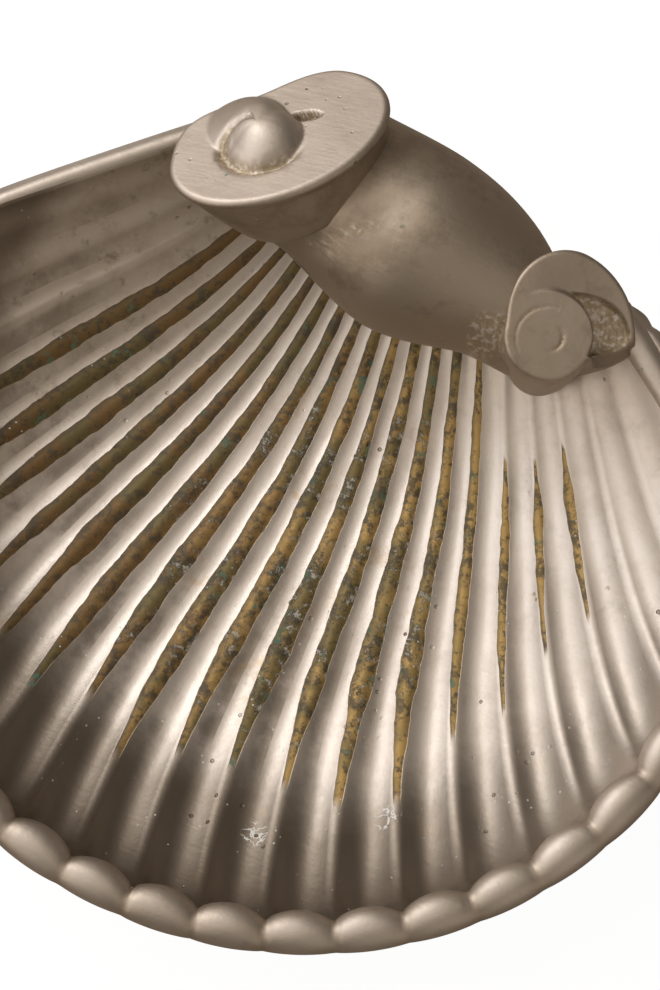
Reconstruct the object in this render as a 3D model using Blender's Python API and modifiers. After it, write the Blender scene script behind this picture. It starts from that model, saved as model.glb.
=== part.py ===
"""Shell trinket dish: one heavy casting in the form of a scallop shell.

Metres, +Z up. The front rim points to -Y, the scroll stands at the +Y end, and the
dish rests on the flat seat under its bowl. The shape is worked out round the hinge
point, where the two straight sides would meet, and moved to the origin at the end.
"""
import math

import bmesh
import bpy
from mathutils import Matrix, Vector

# Shell outline, seen from above: a circle that passes through the hinge point, drawn in
# towards its sides, and cut by two straight sides that leave the hinge point.
SHELL_RADIUS = 0.075
NARROWING = 0.0145
SIDE_ANGLE = math.radians(45.0)
BACK_SETBACK = 0.0355
BACK_SLANT = 0.0055

# Bowl
BOWL_DEPTH = 0.0220
WALL = 0.0030
FRONT_ROUND = 6.2
FRONT_FULLNESS = 0.58
SIDE_ROUND = 3.1
SIDE_FULLNESS = 0.68
HINGE_RUN = 0.030

# Ridges, which fan out from the hinge
RIDGES = 23
RIDGE_HEIGHT = 0.0017
RIDGE_FLAT = 0.22
RIDGE_SPREAD = 0.08
RIDGE_SWAY = math.radians(1.1)
SWAY_START = 0.25
SIDE_FADE = 12
RIM_FADE = 0.033

# Beaded rim
BEAD_RADIUS = 0.00345
BEAD_OUTSET = 0.00145
BEAD_DROP = 0.0006
NOTCH_DEPTH = 0.0014
NOTCH_OUTSET = 0.0009
BEAD_FULLNESS = 0.6
RIM_END_RADIUS = 0.0016
EDGE_RADIUS = 0.0020
EDGE_OUTSET = 0.0024
EDGE_DROP = 0.0034

# Flat seat under the bowl
SEAT_RADIUS = 0.021
SEAT_Y = -0.078
SEAT_FLARE = 1.04
SEAT_BITE = 0.6

# Body of the scroll: three stations along its curved axis
NECK_AT = Vector((-0.0138, -0.0372, 0.0005))
NECK_HALF_WIDTH = 0.0132
NECK_HALF_HEIGHT = 0.0125
BARREL_AT = Vector((0.0027, -0.0414, -0.0008))
BARREL_HALF_WIDTH = 0.0152
BARREL_HALF_HEIGHT = 0.0160
SHOULDER_AT = Vector((0.0172, -0.0430, -0.0019))
SHOULDER_HALF_WIDTH = 0.0116
SHOULDER_HALF_HEIGHT = 0.0132
FLARE_SHARE = 0.52
FLARE_PINCH = 0.93

# Left volute: a broad oval face that leans back and to the left
LEFT_FACE_AT = Vector((-0.0222, -0.0372, 0.0135))
LEFT_LONG_RADIUS = 0.0177
LEFT_SHORT_RADIUS = 0.0137
LEFT_LEAN = math.radians(34.0)
LEFT_HEADING = math.radians(136.6)
LEFT_LIP = 0.0024
LEFT_LIP_ROUND = 0.0009
LEFT_LIP_OVERLAP = 0.0003
NOSE_HEIGHT = 0.0058
NOSE_RADIUS = 0.0053
NOSE_TIP_RADIUS = 0.0031
NOSE_TIP_ROUND = 0.0016
NOSE_AT = (0.0016, 0.0002)
RING_RADIUS = 0.0062
RING_GAP = math.radians(60.0)
RING_OPENS_AT = math.radians(-61.0)
RING_GROOVE = 0.0009
SLOT_LENGTH = 0.0050
SLOT_WIDTH = 0.0017
SLOT_DEPTH = 0.0030
SLOT_AT = (-0.0050, -0.0015)
SLOT_TURN = math.radians(-29.0)
GROOVE_LIFT = 0.35

# Right volute: a small round face that looks up and to the front right
RIGHT_FACE_AT = Vector((0.0273, -0.0495, 0.0070))
RIGHT_RADIUS = 0.0072
RIGHT_LEAN = math.radians(14.0)
RIGHT_HEADING = math.radians(-50.0)
RIGHT_EDGE_ROUND = 0.0008
COLLAR_RADIUS = 0.0105
COLLAR_STEP = 0.0036
VOLUTE_ROOT = 0.0125
VOLUTE_FOOT = 0.5
BAND_TURN = 0.0122
BAND_FROM = math.radians(128.0)
BAND_TO = math.radians(22.0)
BAND_RADIUS = 0.0034
BAND_END_RADIUS = 0.0015
BAND_MERGE = 0.0067
BAND_RAIL_LENGTH = 0.018
SPIRAL_GROOVE = 0.0007
SPIRAL_TURNS = 1.35
SPIRAL_START = math.radians(-34.0)
SPIRAL_OUTER = 0.92
SPIRAL_INNER = 0.30
SPIRAL_THINNING = 0.6

# Fineness of the surfaces
COLUMNS_PER_FLUTE = 4
EDGE_STEPS_PER_FLUTE = 2
BOWL_ROWS = 14
ROW_CROWDING = 1.6
BODY_SIDES = 26
BODY_STEPS = 3
VOLUTE_SIDES = 28
GROOVE_STEPS = 28
BAND_STEPS = 12
RAIL_STEPS = 5
SHARP_EDGE = math.radians(40.0)

METAL_COLOUR = (0.56, 0.51, 0.45, 1.0)
METAL_ROUGHNESS = 0.34
MERGE_DISTANCE = 0.00001

UP = Vector((0.0, 0.0, 1.0))
FLUTE_ANGLE = 2 * SIDE_ANGLE / RIDGES


def clear_scene():
    """Empties the scene that the script runs in."""
    for thing in list(bpy.data.objects):
        bpy.data.objects.remove(thing, do_unlink=True)


def new_collection(name):
    """Returns a collection of that name, linked to the scene."""
    group = bpy.data.collections.new(name)
    bpy.context.scene.collection.children.link(group)
    return group


def cast_metal():
    """Worn nickel plate over brass."""
    metal = bpy.data.materials.new("worn_nickel_plate")
    metal.use_nodes = True
    shader = metal.node_tree.nodes["Principled BSDF"]
    shader.inputs["Base Color"].default_value = METAL_COLOUR
    shader.inputs["Roughness"].default_value = METAL_ROUGHNESS
    shader.inputs["Metallic"].default_value = 1.0
    return metal


def object_from_bmesh(name, mesh_code, group):
    """Makes an object of a bmesh, links it to a collection and frees the bmesh."""
    mesh = bpy.data.meshes.new(name)
    mesh_code.to_mesh(mesh)
    mesh_code.free()
    thing = bpy.data.objects.new(name, mesh)
    group.objects.link(thing)
    return thing


def bake(thing):
    """Replaces a curve or a modified object by the closed mesh that it evaluates to."""
    bpy.context.view_layer.update()
    evaluated = thing.evaluated_get(bpy.context.evaluated_depsgraph_get())
    mesh = bpy.data.meshes.new_from_object(evaluated)
    cleaner = bmesh.new()
    cleaner.from_mesh(mesh)
    bmesh.ops.remove_doubles(cleaner, verts=cleaner.verts, dist=MERGE_DISTANCE)
    bmesh.ops.recalc_face_normals(cleaner, faces=cleaner.faces)
    cleaner.to_mesh(mesh)
    cleaner.free()
    solid = bpy.data.objects.new(thing.name + "_solid", mesh)
    solid.matrix_world = thing.matrix_world.copy()
    for group in thing.users_collection:
        group.objects.link(solid)
    bpy.data.objects.remove(thing, do_unlink=True)
    return solid


def rim_distance(angle):
    """Distance from the hinge point to the rim's inner edge, at an angle from -Y."""
    return 2 * SHELL_RADIUS * math.cos(angle) - NARROWING * abs(angle / SIDE_ANGLE) ** 3


def ridge_wave(angle):
    """0 on a ridge's worn crest, 1 in the middle of a flute."""
    wave = abs(math.sin(math.pi * (angle / FLUTE_ANGLE)))
    return max(wave - RIDGE_FLAT, 0.0) / (1.0 - RIDGE_FLAT)


def bowl_depth(share, angle, run):
    """Depth of the bowl below the rim, before the flutes are sunk into it."""
    front = (1 - share ** FRONT_ROUND) ** FRONT_FULLNESS
    side = (1 - min(abs(angle) / SIDE_ANGLE, 1.0) ** SIDE_ROUND) ** SIDE_FULLNESS
    back = math.sqrt(1 - (1 - min(run / HINGE_RUN, 1.0)) ** 2)
    return BOWL_DEPTH * front * side * back


def bowl_point(across, along):
    """A point of the bowl's inner surface; across is -1 to 1, along is 0 to 1."""
    angle = across * SIDE_ANGLE
    reach = rim_distance(angle)
    start = (BACK_SETBACK + BACK_SLANT * across) / math.cos(angle)
    distance = start + (reach - start) * along
    share = min(distance / reach, 1.0)
    inner = 1 - across ** 2
    sway = RIDGE_SWAY * math.sin(2 * math.pi * max(0.0, (share - SWAY_START) / (1 - SWAY_START)))
    swing = angle * (1 - RIDGE_SPREAD * (1 - share) * inner) + sway * inner
    run = (distance - start) * math.cos(angle)
    flute = RIDGE_HEIGHT * ridge_wave(angle) * along * (1 - abs(across) ** SIDE_FADE)
    depth = bowl_depth(share, angle, run) + flute * min((1 - share) / RIM_FADE, 1.0)
    return Vector((distance * math.sin(swing), -distance * math.cos(swing), -depth))


def make_bowl(group):
    """The fluted bowl: an open sheet, given its wall by Solidify."""
    sheet = bmesh.new()
    columns = RIDGES * COLUMNS_PER_FLUTE
    bmesh.ops.create_grid(sheet, x_segments=columns, y_segments=BOWL_ROWS, size=1.0)
    for vert in sheet.verts:
        across = max(-1.0, min(1.0, vert.co.x))
        from_rim = max(0.0, min(1.0, 0.5 + 0.5 * vert.co.y))
        vert.co = bowl_point(across, 1.0 - from_rim ** ROW_CROWDING)
    bowl = object_from_bmesh("bowl", sheet, group)
    wall = bowl.modifiers.new("wall", "SOLIDIFY")
    wall.thickness = WALL
    wall.offset = -1.0
    wall.use_even_offset = True
    return bake(bowl)


def rod(name, points, radii, group):
    """A tube with a radius of its own at each point, made a closed mesh."""
    line = bpy.data.curves.new(name, "CURVE")
    line.dimensions = "3D"
    line.bevel_depth = 1.0
    line.bevel_resolution = 2
    line.use_fill_caps = True
    spline = line.splines.new("POLY")
    spline.points.add(len(points) - 1)
    for knot, point, radius in zip(spline.points, points, radii):
        knot.co = (*point, 1.0)
        knot.radius = radius
    thing = bpy.data.objects.new(name, line)
    group.objects.link(thing)
    return bake(thing)


def beside_rim(angle, outset, drop):
    """A point outside the rim's inner edge, square to it, at an angle from -Y."""
    along = Vector((math.sin(angle), -math.cos(angle), 0.0))
    across = Vector((math.cos(angle), math.sin(angle), 0.0))
    slope = (-2 * SHELL_RADIUS * math.sin(angle)
             - 3 * NARROWING * angle * abs(angle) / SIDE_ANGLE ** 3)
    run = along * slope + across * rim_distance(angle)
    outward = Vector((run.y, -run.x, 0.0)).normalized()
    return along * rim_distance(angle) + outward * outset - UP * drop


def make_edge(group):
    """The plain roll under the beads, which shows between them from the front."""
    steps = RIDGES * EDGE_STEPS_PER_FLUTE
    points = [beside_rim(SIDE_ANGLE * (2 * step / steps - 1), EDGE_OUTSET, EDGE_DROP)
              for step in range(steps + 1)]
    return rod("rim_edge", points, [EDGE_RADIUS] * len(points), group)


def make_rim(group):
    """The beaded rim: a roll along the round front, pinched where a ridge meets it."""
    steps = RIDGES * COLUMNS_PER_FLUTE
    points = []
    radii = []
    for step in range(steps + 1):
        angle = SIDE_ANGLE * (2 * step / steps - 1)
        lobe = abs(math.sin(math.pi * angle / FLUTE_ANGLE)) ** BEAD_FULLNESS
        points.append(beside_rim(angle, BEAD_OUTSET + NOTCH_OUTSET * (1 - lobe), BEAD_DROP))
        from_end = min(step, steps - step) / COLUMNS_PER_FLUTE
        full = BEAD_RADIUS - NOTCH_DEPTH * (1 - lobe)
        taper = min(from_end, 1.0)
        radii.append(RIM_END_RADIUS + (full - RIM_END_RADIUS) * taper)
    return rod("rim", points, radii, group)


def facing(lean, heading):
    """Direction that leans away from +Z by lean, towards the heading from +X."""
    level = Vector((math.cos(heading), math.sin(heading), 0.0))
    return level * math.sin(lean) + UP * math.cos(lean)


def section_axes(forward):
    """Two axes of a section: level and to the side, and the one that points up."""
    rise = (UP - forward * UP.dot(forward)).normalized()
    return rise.cross(forward).normalized(), rise


def section(centre, forward, half_width, half_height):
    """One station of the body's loft."""
    return {"centre": centre, "forward": forward.normalized(),
            "half_width": half_width, "half_height": half_height}


def blended(before, start, end, after, share):
    """Smooth value between start and end, led by their neighbours."""
    bend = 0.5 * ((end - before) * share + (2 * before - 5 * start + 4 * end - after) * share ** 2
                  + (3 * start - before - 3 * end + after) * share ** 3)
    return start + bend


def fill_stations(stations):
    """Adds the stations between the given ones."""
    filled = []
    last = len(stations) - 1
    for index in range(last):
        four = [stations[max(index - 1, 0)], stations[index], stations[index + 1],
                stations[min(index + 2, last)]]
        for step in range(BODY_STEPS):
            share = step / BODY_STEPS
            filled.append({key: blended(*(entry[key] for entry in four), share) for key in four[0]})
    filled.append(stations[last])
    return filled


def loft(name, stations, sides, group):
    """A closed body through oval stations of different size and direction."""
    shape = bmesh.new()
    rings = []
    for station in stations:
        side, rise = section_axes(station["forward"].normalized())
        ring = []
        for index in range(sides):
            turn = 2 * math.pi * index / sides
            offset = (side * station["half_width"] * math.cos(turn)
                      + rise * station["half_height"] * math.sin(turn))
            ring.append(shape.verts.new(station["centre"] + offset))
        rings.append(ring)
    for first, second in zip(rings[:-1], rings[1:]):
        for index in range(sides):
            following = (index + 1) % sides
            shape.faces.new((first[index], first[following], second[following], second[index]))
    shape.faces.new(list(reversed(rings[0])))
    shape.faces.new(rings[-1])
    bmesh.ops.recalc_face_normals(shape, faces=shape.faces)
    return object_from_bmesh(name, shape, group)


def make_body(group):
    """The bulging body of the scroll, from the left volute's lip to the right volute."""
    out = facing(LEFT_LEAN, LEFT_HEADING)
    lip = section(LEFT_FACE_AT - out * LEFT_LIP, -out, LEFT_LONG_RADIUS - LEFT_LIP_ROUND,
                  LEFT_SHORT_RADIUS - LEFT_LIP_ROUND)
    flare_at = LEFT_FACE_AT.lerp(NECK_AT, FLARE_SHARE) - out * LEFT_LIP
    flare = section(flare_at, (NECK_AT - LEFT_FACE_AT).normalized() - out,
                    FLARE_PINCH * (LEFT_LONG_RADIUS + NECK_HALF_WIDTH) / 2,
                    FLARE_PINCH * (LEFT_SHORT_RADIUS + NECK_HALF_HEIGHT) / 2)
    neck = section(NECK_AT, BARREL_AT - NECK_AT, NECK_HALF_WIDTH, NECK_HALF_HEIGHT)
    barrel = section(BARREL_AT, SHOULDER_AT - NECK_AT, BARREL_HALF_WIDTH, BARREL_HALF_HEIGHT)
    shoulder = section(SHOULDER_AT, SHOULDER_AT - BARREL_AT, SHOULDER_HALF_WIDTH,
                       SHOULDER_HALF_HEIGHT)
    stub_at = RIGHT_FACE_AT - UP * (RIGHT_FACE_AT.z - SHOULDER_AT.z)
    end = section(stub_at, stub_at - SHOULDER_AT, RIGHT_RADIUS, RIGHT_RADIUS)
    return loft("scroll_body", fill_stations([lip, flare, neck, barrel, shoulder, end]),
                BODY_SIDES, group)


def rounded_disc(name, place, half_x, half_y, thickness, edge_round, group, foot=1.0):
    """A flat disc or plug with a rounded upper edge; its top face is at z = 0 in place.
    foot is how wide the lower end is, as a share of the upper one."""
    shape = bmesh.new()
    bmesh.ops.create_cone(shape, cap_ends=True, segments=VOLUTE_SIDES, radius1=foot,
                          radius2=1.0, depth=thickness)
    for vert in shape.verts:
        vert.co.x *= half_x
        vert.co.y *= half_y
        vert.co.z -= thickness / 2
    top = [edge for edge in shape.edges if all(vert.co.z > -thickness / 2 for vert in edge.verts)]
    bmesh.ops.bevel(shape, geom=top, offset=edge_round, segments=2, profile=0.5, affect="EDGES")
    bmesh.ops.transform(shape, matrix=place, verts=shape.verts)
    bmesh.ops.recalc_face_normals(shape, faces=shape.faces)
    return object_from_bmesh(name, shape, group)


def face_place(centre, out):
    """Frame of a volute's face: x level along the face, z out of it."""
    side, rise = section_axes(-out)
    turn = Matrix((side, rise, out)).transposed()
    if turn.determinant() < 0:
        turn = Matrix((-side, rise, out)).transposed()
    return Matrix.Translation(centre) @ turn.to_4x4()


def make_left_face(group):
    """The left volute's flat oval face and the small snail nose on it."""
    place = face_place(LEFT_FACE_AT, facing(LEFT_LEAN, LEFT_HEADING))
    disc = rounded_disc("left_face", place, LEFT_LONG_RADIUS, LEFT_SHORT_RADIUS,
                        LEFT_LIP + LEFT_LIP_OVERLAP, LEFT_LIP_ROUND, group)
    nose = bmesh.new()
    bmesh.ops.create_cone(nose, cap_ends=True, segments=VOLUTE_SIDES // 2, radius1=NOSE_RADIUS,
                          radius2=NOSE_TIP_RADIUS, depth=NOSE_HEIGHT + LEFT_LIP / 2)
    tip = [edge for edge in nose.edges if all(vert.co.z > 0 for vert in edge.verts)]
    bmesh.ops.bevel(nose, geom=tip, offset=NOSE_TIP_ROUND, segments=2, profile=0.5,
                    affect="EDGES")
    lift = Matrix.Translation((*NOSE_AT, NOSE_HEIGHT / 2 - LEFT_LIP / 4))
    bmesh.ops.transform(nose, matrix=place @ lift, verts=nose.verts)
    return disc, object_from_bmesh("nose", nose, group)


def make_left_cutters(group):
    """The rough ring groove round the nose and the deep slot beside it."""
    place = face_place(LEFT_FACE_AT, facing(LEFT_LEAN, LEFT_HEADING))
    points = []
    for step in range(GROOVE_STEPS + 1):
        turn = RING_GAP + 2 * (math.pi - RING_GAP) * step / GROOVE_STEPS
        points.append(place @ Vector((NOSE_AT[0] + RING_RADIUS * math.cos(turn + RING_OPENS_AT),
                                      NOSE_AT[1] + RING_RADIUS * math.sin(turn + RING_OPENS_AT),
                                      RING_GROOVE * GROOVE_LIFT)))
    ring = rod("ring_groove", points, [RING_GROOVE] * len(points), group)
    slot = bmesh.new()
    bmesh.ops.create_uvsphere(slot, u_segments=12, v_segments=8, radius=1.0)
    size = Matrix.Diagonal((SLOT_LENGTH / 2, SLOT_WIDTH / 2, SLOT_DEPTH, 1.0))
    at = Matrix.Translation((*SLOT_AT, 0.0))
    turn = Matrix.Rotation(SLOT_TURN, 4, "Z")
    bmesh.ops.transform(slot, matrix=place @ at @ turn @ size, verts=slot.verts)
    return ring, object_from_bmesh("slot", slot, group)


def make_right_volute(group):
    """The small round face, the lower collar round it and the plug that carries both."""
    out = facing(RIGHT_LEAN, RIGHT_HEADING)
    place = face_place(RIGHT_FACE_AT, out)
    root = RIGHT_FACE_AT.z + VOLUTE_ROOT
    face = rounded_disc("right_face", place, RIGHT_RADIUS, RIGHT_RADIUS, 2 * COLLAR_STEP,
                        RIGHT_EDGE_ROUND, group)
    lowered = place @ Matrix.Translation((0.0, 0.0, -COLLAR_STEP))
    collar = rounded_disc("right_collar", lowered, COLLAR_RADIUS, COLLAR_RADIUS,
                          root - COLLAR_STEP, RIGHT_EDGE_ROUND, group, VOLUTE_FOOT)
    return face, collar


def make_band(group):
    """The scroll's outer turn: it leaves the body, rounds the right volute and
    runs out along the top of the right side."""
    points = []
    radii = []
    for step in range(BAND_STEPS + 1):
        turn = BAND_FROM + (BAND_TO - BAND_FROM) * step / BAND_STEPS
        points.append(Vector((RIGHT_FACE_AT.x + BAND_TURN * math.cos(turn),
                              RIGHT_FACE_AT.y + BAND_TURN * math.sin(turn), 0.0)))
    along_side = Vector((math.sin(SIDE_ANGLE), -math.cos(SIDE_ANGLE), 0.0))
    joins_at = points[-1].dot(along_side) + BAND_MERGE
    for step in range(1, RAIL_STEPS + 1):
        points.append(along_side * (joins_at + BAND_RAIL_LENGTH * step / RAIL_STEPS))
    top = RIGHT_FACE_AT.z - COLLAR_STEP
    for index, point in enumerate(points):
        share = index / (len(points) - 1)
        point.z = top - (top + BAND_END_RADIUS) * share
        radii.append(BAND_RADIUS + (BAND_END_RADIUS - BAND_RADIUS) * share)
    return rod("outer_turn", points, radii, group)


def make_spiral_cutter(group):
    """The spiral groove in the right volute's face."""
    place = face_place(RIGHT_FACE_AT, facing(RIGHT_LEAN, RIGHT_HEADING))
    points = []
    radii = []
    for step in range(GROOVE_STEPS + 1):
        share = step / GROOVE_STEPS
        turn = SPIRAL_START + 2 * math.pi * SPIRAL_TURNS * share
        reach = RIGHT_RADIUS * (SPIRAL_OUTER + (SPIRAL_INNER - SPIRAL_OUTER) * share)
        points.append(place @ Vector((reach * math.cos(turn), reach * math.sin(turn),
                                      SPIRAL_GROOVE * GROOVE_LIFT)))
        radii.append(SPIRAL_GROOVE * (1 + (SPIRAL_THINNING - 1) * share))
    return rod("spiral_groove", points, radii, group)


def make_seat(group):
    """The flat seat that the dish rests on."""
    lowest = -(BOWL_DEPTH + RIDGE_HEIGHT + WALL)
    height = RIDGE_HEIGHT + WALL * SEAT_BITE
    seat = bmesh.new()
    bmesh.ops.create_cone(seat, cap_ends=True, segments=VOLUTE_SIDES, radius1=SEAT_RADIUS,
                          radius2=SEAT_RADIUS * SEAT_FLARE, depth=height)
    lift = Matrix.Translation((0.0, SEAT_Y, lowest + height / 2))
    bmesh.ops.transform(seat, matrix=lift, verts=seat.verts)
    return object_from_bmesh("seat", seat, group)


def combine(main, others, operation):
    """Joins the others to the main solid, or cuts them out of it, one after another."""
    for other in others:
        step = main.modifiers.new(operation.lower() + "_" + other.name, "BOOLEAN")
        step.operation = operation
        step.object = other
        step.solver = "EXACT"
        step.use_self = True
        main = bake(main)
    return main


def hide_cutter(cutter):
    """Marks an object as one that only cuts."""
    cutter.hide_render = True
    cutter.display_type = "WIRE"


def to_origin(dish):
    """Puts the bottom centre of the dish's box at the origin."""
    corners = [vert.co for vert in dish.data.vertices]
    low = Vector(min(point[axis] for point in corners) for axis in range(3))
    high = Vector(max(point[axis] for point in corners) for axis in range(3))
    shift = Vector((-(low.x + high.x) / 2, -(low.y + high.y) / 2, -low.z))
    dish.data.transform(Matrix.Translation(shift))


def main():
    clear_scene()
    parts = new_collection("shell_trinket_dish")
    cutters = new_collection("cutters")
    dish = make_bowl(parts)
    solids = [make_rim(parts), make_edge(parts), make_body(parts), *make_left_face(parts),
              *make_right_volute(parts), make_band(parts), make_seat(parts)]
    cuts = [*make_left_cutters(cutters), make_spiral_cutter(cutters)]
    for cutter in cuts:
        hide_cutter(cutter)
    dish = combine(dish, solids, "UNION")
    dish = combine(dish, cuts, "DIFFERENCE")
    dish.name = "shell_dish"
    for solid in solids:
        bpy.data.objects.remove(solid, do_unlink=True)
    to_origin(dish)
    dish.data.materials.clear()
    dish.data.materials.append(cast_metal())
    dish.data.shade_smooth()
    dish.data.set_sharp_from_angle(angle=SHARP_EDGE)


main()
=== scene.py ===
"""Looks of the shell trinket dish: a heavy plated casting in the form of a scallop shell.

The finished surfaces stand for the plain solid. They are worked out round the hinge
point, where the dish's two straight sides would meet, and placed where the solid is.
"""

import math

import bpy
from mathutils import Matrix, Vector, noise


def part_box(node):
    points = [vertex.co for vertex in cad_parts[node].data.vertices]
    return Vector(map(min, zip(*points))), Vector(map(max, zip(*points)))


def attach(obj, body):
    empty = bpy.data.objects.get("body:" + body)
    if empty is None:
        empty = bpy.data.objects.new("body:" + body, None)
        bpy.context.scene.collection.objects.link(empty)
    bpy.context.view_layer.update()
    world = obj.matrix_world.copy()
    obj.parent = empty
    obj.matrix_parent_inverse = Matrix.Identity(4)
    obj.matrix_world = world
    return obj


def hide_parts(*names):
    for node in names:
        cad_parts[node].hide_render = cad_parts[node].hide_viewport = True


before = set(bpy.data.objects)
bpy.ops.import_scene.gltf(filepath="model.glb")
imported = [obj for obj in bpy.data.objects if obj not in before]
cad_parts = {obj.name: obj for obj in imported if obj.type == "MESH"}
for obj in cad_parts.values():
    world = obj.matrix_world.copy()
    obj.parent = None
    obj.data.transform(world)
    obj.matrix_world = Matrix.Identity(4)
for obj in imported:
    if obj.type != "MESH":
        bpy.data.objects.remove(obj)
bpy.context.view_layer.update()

UP = Vector((0.0, 0.0, 1.0))

# Lengths are in metres, and places are measured from the hinge point.
# Shell outline, wall and flutes. The two curves are powers that shape the bowl's section
# towards the front rim and towards the sides: how late it rises, and how round it ends.
SHELL_RADIUS = 0.075
NARROWING = 0.0145
SIDE_ANGLE = math.radians(45.0)
BACK_SETBACK = 0.0355
BACK_SLANT = 0.0055
BOWL_DEPTH = 0.0220
WALL = 0.0030
RIDGES = 23
RIDGE_HEIGHT = 0.0017
RIDGE_FLAT = 0.22
RIDGE_SWAY = math.radians(1.1)
RIDGE_WANDER = math.radians(0.22)
RIDGE_SPREAD = 0.08
RIPPLE_HEIGHT = 0.00016
FLUTE_ANGLE = 2 * SIDE_ANGLE / RIDGES
COLUMNS_PER_FLUTE = 14
ROWS_TO_HINGE = 110
ROW_CROWDING = 1.6
FRONT_CURVE = (6.2, 0.58)
SIDE_CURVE = (3.1, 0.68)
HINGE_RUN = 0.030
SIDE_TUCK = 0.045
TUCK_END = 0.084

# Rim
BEAD_RADIUS = 0.00345
BEAD_OUTSET = 0.00145
BEAD_DROP = 0.0006
BEAD_UNEVEN = 0.0002
NOTCH_DEPTH = 0.00119
NOTCH_OUTSET = 0.0009
RIM_END_RADIUS = 0.0016
EDGE_RADIUS = 0.0020
EDGE_OUTSET = 0.0024
EDGE_DROP = 0.0034

# Left volute: its face, lip, snail nose with a groove round it, and a slot beside the nose
LEFT_FACE_AT = Vector((-0.0222, -0.0372, 0.0135))
LEFT_LONG_RADIUS = 0.0177
LEFT_SHORT_RADIUS = 0.0137
LEFT_LEAN = math.radians(34.0)
LEFT_HEADING = math.radians(136.6)
LEFT_LIP = 0.0024
LEFT_LIP_ROUND = 0.0009
NOSE_AT = (0.0025, -0.0001)
NOSE_HEIGHT = 0.0040
NOSE_RADIUS = 0.0062
GROOVE_DEPTH = 0.0009
GROOVE_WIDTH = 0.00085
SLOT_AT = Vector((-0.0050, -0.0015))
SLOT_TURN = math.radians(29.0)
SLOT_HALF_LENGTH = 0.0028
SLOT_HALF_WIDTH = 0.0011
SLOT_DEPTH = 0.0022

# Body of the scroll: half widths and half heights of its stations
BODY_INSET = 0.0009
FLARE_HALVES = (0.01437, 0.01218)
NECK_AT = Vector((-0.0138, -0.0372, 0.0005))
NECK_HALVES = (0.0132, 0.0125)
BARREL_AT = Vector((0.0027, -0.0414, -0.0008))
BARREL_HALVES = (0.0152, 0.0160)
SHOULDER_AT = Vector((0.0172, -0.0430, -0.0019))
SHOULDER_HALVES = (0.0116, 0.0117)
STEPS_PER_STATION = 12
CREASE_DEPTH = 0.055

# Right volute: its face, the outer turn round it, their carving and the root below
RIGHT_FACE_AT = Vector((0.0273, -0.0495, 0.0070))
RIGHT_RADIUS = 0.0069
RIGHT_LEAN = math.radians(14.0)
RIGHT_HEADING = math.radians(-50.0)
OUTER_TURN = 0.0070
OPENING_WIDTH = 0.0058
OUTER_TURN_FALL = 0.0024
GROUND_DEPTH = 0.0014
SPIRAL_DEPTH = 0.00030
HOOK_RADIUS = 0.0022
GAP_DEPTH = 0.0016
GAP_END = 0.0122
VOLUTE_EDGE = 0.0007
ROOT_RADIUS = 0.0050
ROOT_DEPTH = 0.0195
WEB_WIDTH = 0.0052

# Rail from the right volute along the top of the right side
RAIL_START = 0.053
RAIL_LENGTH = 0.036
RAIL_INSET = 0.0032
RAIL_RADIUS = 0.0026
RAIL_TAPER = 0.0011
RAIL_DROP = 0.0004
RAIL_FALL = 0.0016

# Seat
SEAT_RADIUS = 0.021
SEAT_TOP_RADIUS = 0.0218
SEAT_Y = -0.078
SEAT_BITE = 0.6
SEAT_EDGE = 0.0004

# Camera, which looks down on the dish from the front right, and lamp
CAMERA_TARGET = Vector((0.0051, -0.0837, 0.0))
CAMERA_DISTANCE = 0.388
CAMERA_HEADING = math.radians(21.15)
CAMERA_HEIGHT = math.radians(80.01)
CAMERA_ROLL = math.radians(0.88)
CAMERA_LENS = 91.78
LAMP_AT = (-0.55, 0.30, 0.45)
LAMP_SIZE = 0.35
LAMP_POWER = 1.2


def smooth(value):
    """Eases from 0 to 1 as the value goes from 0 to 1, and stays level beyond."""
    value = max(0.0, min(1.0, value))
    return value * value * (3 - 2 * value)


def around(angle, centre, spread):
    """1 at a direction and 0 beyond the spread from it, all in degrees."""
    gap = abs((angle - centre + 180) % 360 - 180)
    return smooth(1 - gap / spread)


def facing(lean, heading):
    """Direction that leans away from +Z by lean, towards the heading from +X."""
    level = Vector((math.cos(heading), math.sin(heading), 0.0))
    return level * math.sin(lean) + UP * math.cos(lean)


def section_axes(forward):
    """Two axes of a section that looks forward: a level one, and the one that points up."""
    rise = (UP - forward * UP.dot(forward)).normalized()
    return forward.cross(rise).normalized(), rise


def grid_piece(name, columns, rows, place):
    """A grid whose points go to place(u, v), with u and v from 0 to 1."""
    bpy.ops.object.select_all(action="DESELECT")
    bpy.ops.mesh.primitive_grid_add(x_subdivisions=columns, y_subdivisions=rows, size=1.0)
    piece = bpy.context.object
    piece.name = name
    for vert in piece.data.vertices:
        vert.co = place(vert.co.x + 0.5, vert.co.y + 0.5) + HINGE
    return piece


def close_up(piece):
    """Welds the seam and the poles of a wrapped grid and turns its faces outwards."""
    bpy.ops.object.mode_set(mode="EDIT")
    bpy.ops.mesh.select_all(action="SELECT")
    bpy.ops.mesh.remove_doubles(threshold=0.000004)
    bpy.ops.mesh.dissolve_degenerate(threshold=0.000001)
    bpy.ops.mesh.normals_make_consistent(inside=False)
    bpy.ops.object.mode_set(mode="OBJECT")
    return piece


def paint(piece, name, values):
    """Stores a value for each point of a piece, in the order of its points."""
    layer = piece.data.attributes.new(name, "FLOAT", "POINT")
    layer.data.foreach_set("value", values)


def finish_piece(piece, *materials):
    """Gives a piece its materials and smooth shading and makes it stand for the casting."""
    for material in materials:
        piece.data.materials.append(material)
    piece.data.shade_smooth()
    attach(piece, "root")
    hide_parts("shell_dish")
    return piece


def rim_distance(angle):
    """Distance from the hinge point to the rim's inner edge, at an angle from -Y."""
    return 2 * SHELL_RADIUS * math.cos(angle) - NARROWING * abs(angle / SIDE_ANGLE) ** 3


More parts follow.
